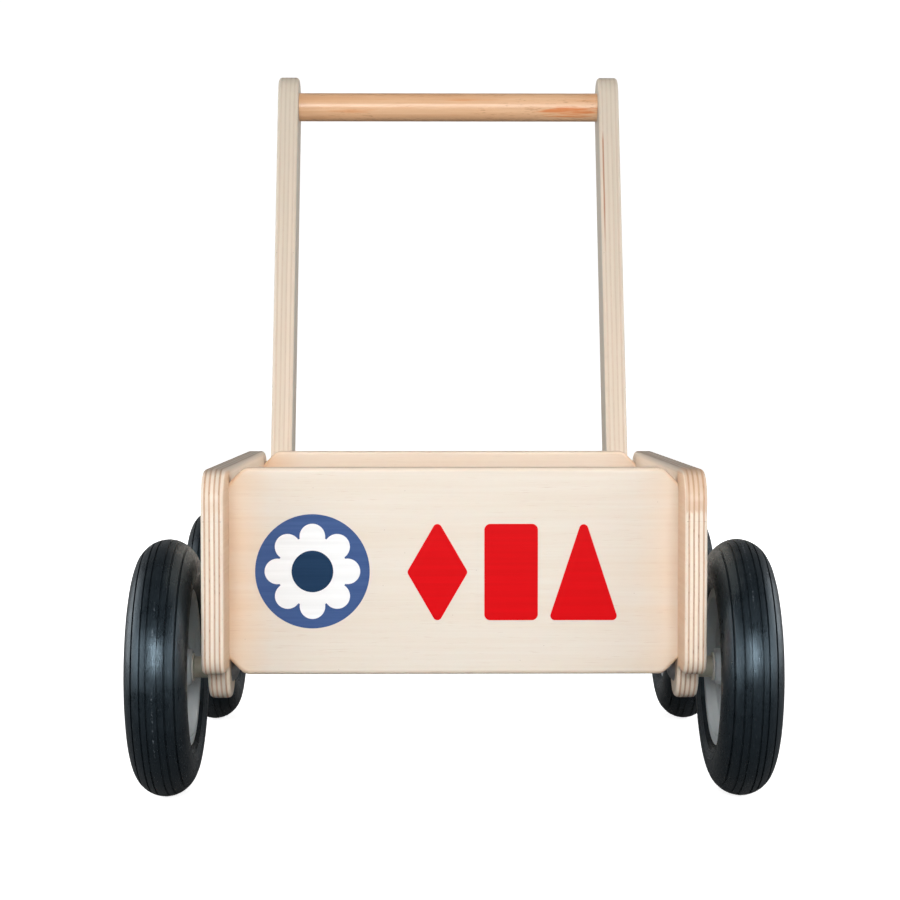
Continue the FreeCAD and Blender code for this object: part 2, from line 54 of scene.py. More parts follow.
class Shader:
    """A new node material with its Principled shader, and short calls that add nodes to it."""

    def __init__(self, name, **constants):
        self.material = bpy.data.materials.new(name)
        self.material.use_nodes = True
        self.tree = self.material.node_tree
        self.principled = self.tree.nodes["Principled BSDF"]
        for socket, value in constants.items():
            self.principled.inputs[socket.replace("_", " ")].default_value = value
        self.place = self.node("ShaderNodeTexCoord").outputs["Object"]

    def node(self, kind, **settings):
        made = self.tree.nodes.new(kind)
        for name, value in settings.items():
            setattr(made, name, value)
        return made

    def put(self, value, socket):
        """Links an output to the socket, or sets a plain value on it."""
        if isinstance(value, bpy.types.NodeSocket):
            self.tree.links.new(value, socket)
        else:
            socket.default_value = value

    def math(self, operation, first, second=0.0, clamp=False):
        made = self.node("ShaderNodeMath", operation=operation, use_clamp=clamp)
        self.put(first, made.inputs[0])
        self.put(second, made.inputs[1])
        return made.outputs[0]

    def split(self, vector):
        made = self.node("ShaderNodeSeparateXYZ")
        self.put(vector, made.inputs[0])
        return made.outputs[0], made.outputs[1], made.outputs[2]

    def join(self, x, y, z):
        made = self.node("ShaderNodeCombineXYZ")
        for value, socket in zip((x, y, z), made.inputs):
            self.put(value, socket)
        return made.outputs[0]

    def stretch(self, vector, scale):
        made = self.node("ShaderNodeVectorMath", operation="MULTIPLY")
        self.put(vector, made.inputs[0])
        self.put(scale, made.inputs[1])
        return made.outputs[0]

    def shift(self, vector, offset):
        made = self.node("ShaderNodeVectorMath", operation="ADD")
        self.put(vector, made.inputs[0])
        self.put(offset, made.inputs[1])
        return made.outputs[0]

    def noise(self, vector, scale=1.0, detail=3.0, roughness=0.5, distortion=0.0):
        made = self.node("ShaderNodeTexNoise")
        self.put(vector, made.inputs["Vector"])
        self.put(scale, made.inputs["Scale"])
        self.put(detail, made.inputs["Detail"])
        self.put(roughness, made.inputs["Roughness"])
        self.put(distortion, made.inputs["Distortion"])
        return made.outputs["Fac"]

    def fit(self, value, low, high, new_low=0.0, new_high=1.0):
        """Maps low..high to new_low..new_high, clamped."""
        made = self.node("ShaderNodeMapRange")
        for given, socket in zip((value, low, high, new_low, new_high), made.inputs):
            self.put(given, socket)
        return made.outputs[0]

    def ramp(self, value, stops):
        made = self.node("ShaderNodeValToRGB")
        self.put(value, made.inputs[0])
        elements = made.color_ramp.elements
        for position, colour in stops[2:]:
            elements.new(position)
        for element, (position, colour) in zip(elements, stops):
            element.position = position
            element.color = (*colour, 1.0)
        return made.outputs[0]

    def mix(self, factor, first, second, blend="MIX"):
        made = self.node("ShaderNodeMix", data_type="RGBA", blend_type=blend)
        self.put(factor, made.inputs["Factor"])
        for value, socket in ((first, made.inputs["A"]), (second, made.inputs["B"])):
            self.put(value if isinstance(value, bpy.types.NodeSocket) else (*value, 1.0), socket)
        return made.outputs["Result"]

    def tint(self, factor, colour, filtering):
        """Colour seen through the filtering colour, as far as factor says."""
        return self.mix(factor, colour, self.mix(1.0, colour, filtering, "MULTIPLY"))

    def blend(self, factor, first, second):
        """Number between first and second."""
        made = self.node("ShaderNodeMix", data_type="FLOAT")
        self.put(factor, made.inputs["Factor"])
        self.put(first, made.inputs["A"])
        self.put(second, made.inputs["B"])
        return made.outputs["Result"]

    def finish(self, colour, roughness, height, depth, strength=1.0):
        """Links colour, roughness and a bump of this depth, and returns the material."""
        bump = self.node("ShaderNodeBump")
        self.put(height, bump.inputs["Height"])
        bump.inputs["Distance"].default_value = depth
        bump.inputs["Strength"].default_value = strength
        self.put(bump.outputs[0], self.principled.inputs["Normal"])
        self.put(colour, self.principled.inputs["Base Color"])
        self.put(roughness, self.principled.inputs["Roughness"])
        return self.material


def srgb(*levels):
    """Linear colour from 0-255 display values of red, green and blue."""
    colour = []
    for level in levels:
        share = level / 255
        if level > 10:
            colour.append(((share + 0.055) / 1.055) ** 2.4)
        else:
            colour.append(share / 12.92)
    return tuple(colour)


# ---------------------------------------------------------------- wood

# Nine plies: five light ones along the grain, and four thinner, darker ones across it between them
LIGHT_PLIES = 5
LIGHT_SHARE = 0.148       # of the panel's thickness
CROSS_SHARE = 0.065
GLUE_SHARE = 0.012
SKIN_SHARE = 0.02         # the sanded, lacquered face
FACE = srgb(232, 223, 211)
WARM_FACE = srgb(236, 206, 178)
PLY_LIGHT = srgb(243, 230, 214)
PLY_DARK = srgb(210, 177, 152)
GLUE = srgb(188, 150, 122)
SHADE = srgb(214, 192, 168)
STREAK = srgb(176, 134, 98)
FLECK = srgb(150, 106, 76)
KNOT = srgb(120, 84, 58)
# Painted shade laid over the uprights, greyer towards their tops
UPRIGHT_SHADE_GREY = srgb(194, 188, 173)
# Painted shade over the side panels' top edges
TOP_EDGE_SHADE = srgb(140, 130, 120)
HONEY = srgb(205, 160, 122)
# Painted shade: the grey face colour of the uprights' inner faces
INNER_FACE_SHADE = srgb(190, 183, 174)
DARK_VENEER = srgb(176, 118, 84)
# Filters for Shader.tint: how much red, green and blue they let through
WARM = (0.96, 0.86, 0.75)
# The peach filter tints painted shade and bounce light in the corners where the panels meet
PEACH_SHADE_FILTER = (1.0, 0.80, 0.62)

PLY_WANDER = 0.05         # of the thickness, from one side to the other
WANDER_WAVES = 16.0       # per metre
PLY_SHIFT = 0.173         # m: how far each ply's fibres lie aside from those of the next
# Waves per metre along the grain, across it, and through the panel
BROAD_BANDS = (3.0, 34.0, 60.0)
FIBRE_LINES = (7.0, 420.0, 420.0)
PORES = (70.0, 2400.0, 2400.0)
TORN_FIBRES = (260.0, 260.0, 1900.0)
LINES_ON_PANEL = 0.35     # how strongly the fibre lines show
LINES_ON_UPRIGHT = 0.7
KNOT_CELLS = (13.0, 13.0, 1.0)            # cells per metre, each with one pin knot at most
KNOT_CHANCE = 0.14        # that a cell holds a pin knot
KNOT_CORE = 0.008         # of a cell: where the knot is darkest
KNOT_RIM = 0.020          # and where it ends
FOOT_SHADE_SHARE = 0.42       # share of the painted shade that reaches an upright's foot
VENEER_LINE_DEPTH = 0.17  # of the upright's thickness
VENEER_LINE = (0.16, 0.12, 0.06, 0.05)    # m below the top: starts, is full, begins to fade, ends
CORNER_SHADE_REACH = (0.034, 0.004)            # m from the panel's end: where the painted shade and bounce light start, are full
NOSE_RUN = (0.029, 0.026)                 # m below the top edge: where the run of lacquer ends, is full
TOP_SHADE_REACH = (0.004, 0.0005)                # m below the top edge: where the painted shade starts, is full


def toned(colour, amount, other):
    return tuple(a + (b - a) * amount for a, b in zip(colour, other))


def ply_stops(seed, faces, contrast):
    """Colour stops through the thickness: light plies between darker cross plies, with thin glue lines."""
    rng = random.Random(seed)
    middle = toned(PLY_LIGHT, 0.35, PLY_DARK)
    stops = [(0.0, faces[0])]
    end = 0.0
    for ply in range(2 * LIGHT_PLIES - 1):
        crossed = ply % 2
        base = toned(middle, contrast, PLY_DARK if crossed else PLY_LIGHT)
        tint = 1 + contrast * rng.uniform(-0.06, 0.04)
        warmth = contrast * rng.uniform(-0.02, 0.02)
        colour = (base[0] * tint * (1 + warmth), base[1] * tint, base[2] * tint * (1 - warmth))
        start = end
        end = start + (CROSS_SHARE if crossed else LIGHT_SHARE)
        stops.append((start + (GLUE_SHARE if ply else SKIN_SHARE), colour))
        if ply < 2 * LIGHT_PLIES - 2:
            stops.append((end - GLUE_SHARE, colour))
            stops.append((end, toned(middle, contrast, GLUE)))
        else:
            stops.append((1 - SKIN_SHARE, colour))
    return stops + [(1.0, faces[1])]


def plywood(name, seed, node, thickness_axis, grain_axis, faces=(FACE, FACE), contrast=1.0, lean=0.0,
            streaked=False, honey=0.0):
    """Lacquered birch plywood for a node's box, layered through thickness_axis, face grain along grain_axis.
    Plies show with this contrast. A leaning piece, which is an upright, gets painted shade, greyer towards
    its top, and streaked gives it a dark line. Honey is the strength of the run of lacquer on a side panel's
    nose."""
    s = Shader(
        name, IOR=1.5, Specular_IOR_Level=0.35, Coat_Weight=0.10, Coat_Roughness=0.25,
        Subsurface_Weight=0.04, Subsurface_Scale=0.002,
    )
    low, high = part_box(node)
    axes = s.split(leaning(s, lean) if lean else s.place)
    along = axes[grain_axis]
    through = axes[thickness_axis]
    across = axes[3 - grain_axis - thickness_axis]
    thickness = high[thickness_axis] - low[thickness_axis]
    depth = s.math("DIVIDE", s.math("SUBTRACT", through, low[thickness_axis]), thickness)

    # Depth in the stack of plies, which wander a little as real veneers do
    sheet = s.join(along, across, 0.37 * seed)
    wander = s.noise(s.stretch(sheet, (WANDER_WAVES, WANDER_WAVES, 1.0)), detail=2.0)
    wobble = s.math("MULTIPLY", s.math("SUBTRACT", wander, 0.5), PLY_WANDER)
    inside = s.math("MULTIPLY", s.math("MULTIPLY", depth, s.math("SUBTRACT", 1.0, depth)), 4.0, clamp=True)
    level = s.math("ADD", depth, s.math("MULTIPLY", wobble, inside))
    layer = s.ramp(level, ply_stops(seed, faces, contrast))
    level = s.fit(level, 0.0, 1.0, 0.001, 0.999)
    pair = LIGHT_SHARE + CROSS_SHARE
    crossed = s.math("GREATER_THAN", s.math("FLOORED_MODULO", level, pair), LIGHT_SHARE)

    # Fibres run along the grain in the light plies, and across it in the others
    step = s.math("MULTIPLY", s.math("FLOOR", s.math("DIVIDE", level, pair / 2)), PLY_SHIFT)
    fibre = s.join(s.blend(crossed, along, across), s.blend(crossed, across, along), through)
    fibre = s.shift(fibre, s.join(step, step, 0.11 * seed))
    broad = s.noise(s.stretch(fibre, BROAD_BANDS), detail=3.0, distortion=0.6)
    lines = s.noise(s.stretch(fibre, FIBRE_LINES), detail=4.0, roughness=0.6)
    pores = s.noise(s.stretch(fibre, PORES), detail=2.0)
    flecks = s.noise(s.stretch(s.join(along, across, through), TORN_FIBRES), detail=2.0)

    colour = s.tint(s.fit(broad, 0.35, 0.75, 0.0, 0.42), layer, WARM)
    line_strength = LINES_ON_UPRIGHT if lean else LINES_ON_PANEL
    colour = s.mix(s.fit(lines, 0.38, 0.72, 0.0, line_strength), colour, s.mix(0.55, colour, SHADE))
    colour = s.mix(s.fit(pores, 0.66, 0.78, 0.0, 0.35), colour, STREAK)

    # Torn fibre ends on the sawn edges of the cross plies
    edge = s.math("MULTIPLY", s.fit(depth, 0.03, 0.06), s.fit(depth, 0.94, 0.97, 1.0, 0.0))
    torn = s.fit(flecks, 0.58, 0.70, 0.0, 0.65 * contrast)
    torn = s.math("MULTIPLY", torn, s.math("MULTIPLY", edge, crossed))
    colour = s.mix(torn, colour, FLECK)
    colour = pin_knots(s, colour, along, across)

    if lean:
        # Painted shade over the upright, greyer towards its top
        colour = painted_upright_shade(s, colour, broad, low, high)
        if streaked:
            colour = veneer_line(s, colour, level, high)
    elif thickness_axis == 1:
        # Painted shade and bounce light in the corners beside the side panels
        colour = painted_corner_shade(s, colour, broad, axes[0], high)
    elif thickness_axis == 0:
        # Painted shade on the inner face and top edge, and a real run of lacquer on the nose
        colour = side_panel_shade_and_lacquer(s, colour, broad, flecks, edge, axes, low, high, honey)

    roughness = s.fit(lines, 0.3, 0.7, 0.40, 0.50)
    height = s.math("SUBTRACT", s.math("MULTIPLY", lines, 0.5), s.math("MULTIPLY", pores, 0.5))
    height = s.math("SUBTRACT", height, torn)
    return s.finish(colour, roughness, height, 0.00012, 0.6)


def leaning(s, lean):
    """Coordinates turned so that their Z runs along a leaning upright."""
    turn = s.node("ShaderNodeMapping")
    turn.inputs["Rotation"].default_value = (lean, 0, 0)
    s.put(s.place, turn.inputs["Vector"])
    return turn.outputs[0]


def pin_knots(s, colour, along, across):
    """A few small dark knots."""
    cells = s.node("ShaderNodeTexVoronoi", voronoi_dimensions="2D")
    s.put(s.stretch(s.join(along, across, 0.0), KNOT_CELLS), cells.inputs["Vector"])
    chosen = s.math("GREATER_THAN", s.split(cells.outputs["Color"])[0], 1 - KNOT_CHANCE)
    pin = s.fit(cells.outputs["Distance"], KNOT_CORE, KNOT_RIM, 1.0, 0.0)
    return s.mix(s.math("MULTIPLY", chosen, s.math("MULTIPLY", pin, 0.55)), colour, KNOT)


def painted_upright_shade(s, colour, broad, low, high):
    """Painted shade: grey laid over an upright's wood, more towards its top."""
    up = s.split(s.place)[2]
    middle = (low.z + high.z) / 2
    upright_darkening = s.math("ADD", s.fit(up, middle, high.z, FOOT_SHADE_SHARE, 1.0), s.fit(broad, 0.3, 0.7, -0.25, 0.25))
    return s.mix(s.math("MULTIPLY", upright_darkening, 0.55, clamp=True), colour, UPRIGHT_SHADE_GREY)


def veneer_line(s, colour, level, high):
    """One dark veneer line beside the inner arris, below the bar."""
    up = s.split(s.place)[2]
    start, full, fading, end = (high.z - drop for drop in VENEER_LINE)
    ends = s.math("MULTIPLY", s.fit(up, start, full), s.fit(up, fading, end, 1.0, 0.0))
    aside = s.math("ABSOLUTE", s.math("SUBTRACT", level, VENEER_LINE_DEPTH))
    line = s.fit(aside, 0.02, 0.05, 0.8, 0.0)
    return s.mix(s.math("MULTIPLY", ends, line), colour, DARK_VENEER)


def painted_corner_shade(s, colour, broad, x, high):
    """Painted shade and warm bounce light on the panel beside the side panels, more on the left."""
    start, full = (high.x - inset for inset in CORNER_SHADE_REACH)
    # Painted shade and bounce light: a peach tint near the panel's ends
    near = s.math("ADD", s.math("ABSOLUTE", x), s.fit(broad, 0.3, 0.7, -0.006, 0.006))
    amount = s.math("MULTIPLY", s.fit(near, start, full), s.fit(x, -0.1, 0.1, 0.8, 0.4))
    return s.tint(amount, colour, PEACH_SHADE_FILTER)


def side_panel_shade_and_lacquer(s, colour, broad, flecks, edge, axes, low, high, honey):
    """Painted peach shade on the inner face ahead of the front panel, painted shade that greys the top edge,
    and a darker run of lacquer on the upper part of the nose's sawn edge."""
    x, y, z = axes
    inner_face = min(abs(low.x), abs(high.x))
    front_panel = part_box("front_panel")[0].y
    # Painted shade: a peach tint on the inner face in the corner ahead of the front panel
    skin = s.fit(s.math("ABSOLUTE", x), inner_face, inner_face + 0.0006, 1.0, 0.0)
    amount = s.math("MULTIPLY", skin, s.fit(y, front_panel, front_panel + 0.01, 0.75, 0.0))
    colour = s.tint(amount, colour, PEACH_SHADE_FILTER)

    # Painted shade: grey over the top edge, which gets little light
    start, full = (high.z - drop for drop in TOP_SHADE_REACH)
    top_shade = s.math("MULTIPLY", s.fit(z, start, full), s.fit(broad, 0.3, 0.7, 0.45, 0.75))
    colour = s.mix(top_shade, colour, TOP_EDGE_SHADE)

    ahead = s.math("MULTIPLY", edge, s.fit(y, front_panel - 0.004, front_panel + 0.012, 1.0, 0.0))
    ragged = s.math("ADD", z, s.fit(flecks, 0.3, 0.7, -0.0015, 0.0015))
    start, full = (high.z - drop for drop in NOSE_RUN)
    upper = s.fit(ragged, start, full, 0.0, honey)
    return s.mix(s.math("MULTIPLY", ahead, upper), colour, HONEY)


MARK_INSET = 0.034          # from the bar's right end
MARK_RISE = 0.0073          # above its lowest line
MARK_HALF_LENGTH = 0.027
MARK_HALF_HEIGHT = 0.0042


def beech(name):
    """Lacquered beech dowel: peach-tan, with short dark flecks, warm streaks and one reddish mark."""
    s = Shader(name, IOR=1.5, Coat_Weight=0.30, Coat_Roughness=0.30)
    broad = s.noise(s.stretch(s.place, (5.0, 90.0, 90.0)), detail=3.0, distortion=0.4)
    lines = s.noise(s.stretch(s.place, (12.0, 700.0, 700.0)), detail=3.0)
    flecks = s.noise(s.stretch(s.place, (130.0, 1000.0, 1000.0)), detail=2.0)
    patches = s.noise(s.stretch(s.place, (14.0, 60.0, 60.0)), detail=1.0)
    streaks = s.noise(s.stretch(s.shift(s.place, (3.1, 0.0, 0.0)), (16.0, 260.0, 260.0)), detail=2.0)
    colour = s.ramp(broad, [
        (0.30, srgb(238, 196, 157)), (0.55, srgb(231, 183, 141)), (0.80, srgb(216, 162, 118)),
    ])
    colour = s.mix(s.fit(lines, 0.35, 0.75, 0.0, 0.35), colour, srgb(208, 152, 106))
    colour = s.mix(s.fit(streaks, 0.62, 0.74, 0.0, 0.55), colour, srgb(222, 144, 86))
    fleck = s.math("MULTIPLY", s.fit(flecks, 0.58, 0.70, 0.0, 0.60), s.fit(patches, 0.42, 0.58))
    colour = s.mix(fleck, colour, srgb(172, 112, 70))

    # The reddish mark: a long ragged oval, low on the front
    low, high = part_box("handle_bar")
    x, y, z = s.split(s.place)
    ragged = s.fit(s.noise(s.stretch(s.place, (45.0, 620.0, 620.0)), detail=4.0), 0.3, 0.7, -0.9, 0.9)
    across = s.math("DIVIDE", s.math("SUBTRACT", z, low.z + MARK_RISE), MARK_HALF_HEIGHT)
    lengthways = s.math("DIVIDE", s.math("SUBTRACT", x, high.x - MARK_INSET), MARK_HALF_LENGTH)
    reach = s.math("ADD", s.math("POWER", across, 2.0), s.math("POWER", lengthways, 2.0))
    front = s.math("LESS_THAN", y, (low.y + high.y) / 2)
    mark = s.math("MULTIPLY", s.fit(s.math("ADD", reach, ragged), 0.1, 1.1, 0.85, 0.0), front)
    colour = s.mix(mark, colour, srgb(222, 130, 68))

    roughness = s.fit(lines, 0.3, 0.7, 0.34, 0.46)
    height = s.math("SUBTRACT", lines, flecks)
    return s.finish(colour, roughness, height, 0.0001, 0.5)


# ---------------------------------------------------------------- rubber, plastic, steel and vinyl

FLASH_INSET = 0.0004      # m from the tyre's middle plane to its moulding line, towards the wagon


def rubber(name):
    """Satin black rubber: streaks round the tread, dusty flecks, and pale crumbs along the moulding line."""
    s = Shader(name, IOR=1.5, Specular_IOR_Level=0.76, Specular_Tint=(0.62, 0.84, 1.0, 1.0))
    bloom = s.noise(s.place, scale=70.0, detail=6.0, roughness=0.68)
    grain = s.noise(s.place, scale=1800.0, detail=3.0, roughness=0.65)
    streaks = s.noise(s.stretch(s.place, (2200.0, 170.0, 170.0)), detail=3.0)
    dust = s.noise(s.stretch(s.place, (1100.0, 420.0, 420.0)), detail=2.0)
    colour = s.ramp(bloom, [(0.25, (0.003, 0.005, 0.007)), (0.75, (0.007, 0.010, 0.013))])
    colour = s.mix(s.fit(dust, 0.60, 0.76, 0.0, 0.45), colour, (0.038, 0.045, 0.050))

    # Crumbs of flash along the moulding line
    low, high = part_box("tyre_front_right")
    seam_x = (low.x + high.x) / 2 - FLASH_INSET
    from_seam = s.math("SUBTRACT", s.math("ABSOLUTE", s.split(s.place)[0]), seam_x)
    seam = s.fit(s.math("ABSOLUTE", from_seam), 0.0002, 0.0006, 1.0, 0.0)
    crumbs = s.fit(s.noise(s.place, scale=520.0, detail=2.0), 0.52, 0.62)
    stretches = s.fit(s.noise(s.place, scale=22.0, detail=1.0), 0.50, 0.58)
    pale = s.math("MULTIPLY", s.math("MULTIPLY", seam, crumbs), stretches)
    colour = s.mix(s.math("MULTIPLY", pale, 0.55), colour, (0.22, 0.25, 0.28))

    roughness = s.fit(bloom, 0.3, 0.7, 0.22, 0.40)
    roughness = s.math("ADD", roughness, s.fit(streaks, 0.35, 0.65, -0.04, 0.08))
    height = s.math("ADD", s.math("MULTIPLY", grain, 0.6), s.math("MULTIPLY", bloom, 3.0))
    height = s.math("ADD", height, s.math("MULTIPLY", streaks, 1.2))
    return s.finish(colour, roughness, height, 0.0002, 0.5)


def plastic(name, low, high, seed):
    """Moulded plastic with a fine spark-eroded texture and slight flow marks."""
    s = Shader(name, IOR=1.46, Subsurface_Weight=0.05, Subsurface_Scale=0.003)
    place = s.shift(s.place, (0.31 * seed, 0.17 * seed, 0.0))
    flow = s.noise(place, scale=26.0, detail=3.0, distortion=1.0)
    texture = s.noise(place, scale=2600.0, detail=2.0)
    colour = s.ramp(flow, [(0.25, low), (0.75, high)])
    roughness = s.fit(flow, 0.3, 0.7, 0.38, 0.50)
    return s.finish(colour, roughness, texture, 0.00008, 0.5)


def steel(name):
    """Bright zinc plating: a faint crystalline mottle over turned marks."""
    s = Shader(name, Metallic=1.0, IOR=2.5)
    mottle = s.noise(s.place, scale=420.0, detail=4.0, roughness=0.7)
    lines = s.noise(s.stretch(s.place, (4000.0, 300.0, 300.0)), detail=2.0)
    colour = s.ramp(mottle, [(0.25, (0.40, 0.41, 0.43)), (0.75, (0.60, 0.60, 0.59))])
    roughness = s.fit(mottle, 0.3, 0.7, 0.32, 0.48)
    return s.finish(colour, roughness, lines, 0.00004, 0.4)


def vinyl(name, low, high, seed):
    """Satin vinyl film, through which the wood's grain shows faintly."""
    s = Shader(name, IOR=1.45, Specular_IOR_Level=0.1)
    place = s.shift(s.place, (0.0, 0.0, 0.07 * seed))
    grain = s.noise(s.stretch(place, (7.0, 420.0, 420.0)), detail=3.0)
    peel = s.noise(place, scale=900.0, detail=2.0)
    colour = s.ramp(grain, [(0.3, low), (0.7, high)])
    roughness = s.fit(peel, 0.3, 0.7, 0.38, 0.48)
    height = s.math("ADD", grain, s.math("MULTIPLY", peel, 0.3))
    return s.finish(colour, roughness, height, 0.00008, 0.25)


def paint(node, material):
    """Gives a carried-over CAD node this material."""
    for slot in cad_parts[node].material_slots:
        slot.material = material


# ---------------------------------------------------------------- meshes

SHARP_ANGLE = math.radians(32)


def rounded(points, steps=5):
    """Closed outline of (x, radius, fillet) corners, with each fillet as an arc of a few points."""
    outline = []
    count = len(points)
    for index, (x, r, fillet) in enumerate(points):
        tip = Vector((x, r))
        if fillet == 0:
            outline.append(tip)
            continue
        back = Vector(points[index - 1][:2]) - tip
        ahead = Vector(points[(index + 1) % count][:2]) - tip
        half = back.angle(ahead) / 2
        reach = fillet / math.tan(half)
        longest = 0.45 * min(back.length, ahead.length)
        if reach > longest:
            fillet *= longest / reach
            reach = longest
        start = tip + back.normalized() * reach
        end = tip + ahead.normalized() * reach
        centre = tip + (back.normalized() + ahead.normalized()).normalized() * (fillet / math.sin(half))
        for step in range(steps + 1):
            share = step / steps
            way = (start - centre).lerp(end - centre, share).normalized()
            outline.append(centre + way * fillet)
    return outline


def lathe(name, outline, centre, way, segments, swell=None):
    """Closed ring about the X axis through centre, from (x, radius) points in millimetres; way mirrors x.
    swell(angle, x, radius) gives a change of radius in millimetres."""
    points = []
    faces = []
    count = len(outline)
    for turn in range(segments):
        angle = 2 * math.pi * turn / segments
        sine, cosine = math.sin(angle), math.cos(angle)
        for x, radius in outline:
            if swell:
                radius += swell(angle, x, radius)
            points.append((
                centre[0] + way * x * MM,
                centre[1] + radius * sine * MM,
                centre[2] + radius * cosine * MM,
            ))
        following = (turn + 1) % segments
        for index in range(count):
            after = (index + 1) % count
            quad = (
                turn * count + index, turn * count + after,
                following * count + after, following * count + index,
            )
            faces.append(quad if way > 0 else quad[::-1])
    return mesh_object(name, points, faces)


def mesh_object(name, points, faces):
    """New object from points and faces, shaded smooth apart from its sharp edges."""
    mesh = bpy.data.meshes.new(name)
    mesh.from_pydata(points, [], faces)
    mesh.validate()
    mesh.polygons.foreach_set("use_smooth", [True] * len(mesh.polygons))
    mesh.set_sharp_from_angle(angle=SHARP_ANGLE)
    made = bpy.data.objects.new(name, mesh)
    bpy.context.scene.collection.objects.link(made)
    return made


def stand_for(piece, node, body, material):
    """Puts the piece in the place of a CAD node."""
    piece.data.materials.append(material)
    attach(piece, body)
    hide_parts(node)


# ---------------------------------------------------------------- wheels

# Lengths of the wheels and the bar are in millimetres
TYRE_SEGMENTS = 240
RIM_SEGMENTS = 160
CAP_SEGMENTS = 96
WALL_LINES = (58.5, 63.5)    # radius of each raised line on the side wall
LINE_HEIGHT = 0.35
LINE_HALF_WIDTH = 0.45
TREAD_GROOVES = (-13.9, -8.0, -3.6, 3.6, 8.0, 13.9)    # x of each groove's middle
GROOVE_DEPTH = 1.1
GROOVE_HALF_WIDTH = 0.6
# Points across a groove: x and depth, as shares of its half width and of its full depth
GROOVE_PROFILE = ((-1.0, 0.0), (-0.85, 0.15), (-0.6, 1.0), (0.6, 1.0), (0.85, 0.15), (1.0, 0.0))
FLASH_HEIGHT = 0.25          # broken moulding line round the middle of the tread
TYRE_SEAT = 13.5             # half the width of the rim's channel
SEAT_DEPTH = 4.2             # how far the tyre's foot sinks into that channel
EVEN_BELOW = 56.0            # radius up to which the tyre has no unevenness
CROWN_FROM = 84.0            # radius from which it can carry the moulding line
WALL_STEPS = 22
SKIN = 0.06                  # room left for the rubber's unevenness
CROWN_STEPS = 72


def tyre_outline(half_width, radius, seat, foot, base_half_width):
    """Grooved crown, walls with two raised lines each, and the base in the rim's channel, in millimetres."""
    widest = radius - half_width
    reach = half_width - SKIN
    crown = []
    for step in range(CROWN_STEPS + 1):
        angle = math.pi * (0.5 - step / CROWN_STEPS)
        x = reach * math.sin(angle)
        if all(abs(x - groove) > GROOVE_HALF_WIDTH for groove in TREAD_GROOVES):
            crown.append((x, widest + reach * math.cos(angle)))
    for groove in TREAD_GROOVES:
        for x, share in GROOVE_PROFILE:
            x = groove + x * GROOVE_HALF_WIDTH
            crown.append((x, widest + math.sqrt(reach ** 2 - x ** 2) - share * GROOVE_DEPTH))
    outline = sorted(crown, reverse=True)
    drop = widest - foot
    inset = half_width - base_half_width
    wall = (drop ** 2 + inset ** 2) / (2 * inset)
    turn = math.asin(drop / wall)
    left_wall = []
    for step in range(1, WALL_STEPS + 1):
        angle = turn * step / WALL_STEPS
        r = widest - wall * math.sin(angle)
        x = half_width - wall + wall * math.cos(angle)
        for line in WALL_LINES:
            x += LINE_HEIGHT * math.exp(-((r - line) / LINE_HALF_WIDTH) ** 2)
        left_wall.append((SKIN - x, r))
    base = [(-base_half_width, seat), (base_half_width, seat)]
    right_wall = [(-x, r) for x, r in reversed(left_wall)]
    return outline + left_wall + base + right_wall


def tyre_swell(seed):
    """Slight unevenness of moulded rubber, and the broken flash line on the crown."""
    rng = random.Random(seed)
    waves = [(rng.randint(2, 31), rng.uniform(0, 2 * math.pi), rng.uniform(0.01, 0.05)) for _ in range(8)]
    breaks = [(rng.randint(25, 110), rng.uniform(0, 2 * math.pi)) for _ in range(6)]

    def swell(angle, x, radius):
        if radius < EVEN_BELOW:
            return 0.0
        change = sum(size * math.sin(count * angle + phase + 0.12 * x) for count, phase, size in waves) - 0.12
        ridge = math.exp(-((x - FLASH_INSET / MM) / 0.4) ** 2)
        broken = sum(math.sin(count * angle + phase) for count, phase in breaks)
        if radius > CROWN_FROM and broken > 0.2:
            change += FLASH_HEIGHT * ridge
        return min(0.0, change)

    return swell


def make_tyre(row, side, way, seed, material):
    low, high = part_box(f"tyre_{row}_{side}")
    centre = (low + high) / 2
    rim_low, rim_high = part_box(f"rim_{row}_{side}")
    foot = (rim_high.z - rim_low.z) / 2 / MM + 0.2
    half_width = (high.x - low.x) / 2 / MM
    radius = (high.z - low.z) / 2 / MM
    outline = tyre_outline(half_width, radius, foot - SEAT_DEPTH, foot, TYRE_SEAT)
    piece = lathe(f"tyre_{row}_{side}_rubber", outline, centre, -way, TYRE_SEGMENTS, tyre_swell(seed))
    stand_for(piece, f"tyre_{row}_{side}", f"wheel_{row}_{side}", material)


# Half sections of the moulded wheel and of its cap: x outwards from the tyre's middle plane, radius, fillet
RIM_SECTION = [
    (-16.7, 6.5, 0), (-16.7, 11.0, 0.4), (-15.7, 12.0, 0.4), (-6.4, 13.0, 1.6), (-5.5, 16.0, 1.6),
    (-6.6, 24.0, 0), (-7.0, 24.4, 0), (-7.5, 24.4, 0.1), (-8.0, 33.0, 0), (-8.6, 33.5, 0.2),
    (-9.2, 43.0, 1.2), (-13.0, 46.0, 1.2), (-16.0, 47.2, 0.8), (-16.0, 53.4, 0.5), (-15.0, 54.0, 0.3),
    (-13.5, 53.4, 0.3), (-13.5, 50.0, 0), (13.5, 50.0, 0), (13.5, 53.4, 0.3), (15.0, 54.0, 0.3),
    (16.0, 53.4, 0.5), (16.0, 47.2, 0.8), (13.0, 46.0, 1.2), (-3.5, 43.0, 1.6), (-2.3, 33.5, 0.3),
    (-1.7, 33.0, 0.3), (-0.5, 22.0, 1.2), (10.0, 20.5, 0.6), (10.0, 17.0, 0.3), (0.0, 17.0, 0.8),
    (0.5, 12.0, 0.8), (2.5, 12.0, 0.4), (3.0, 11.5, 0.3), (3.0, 6.5, 0),
]
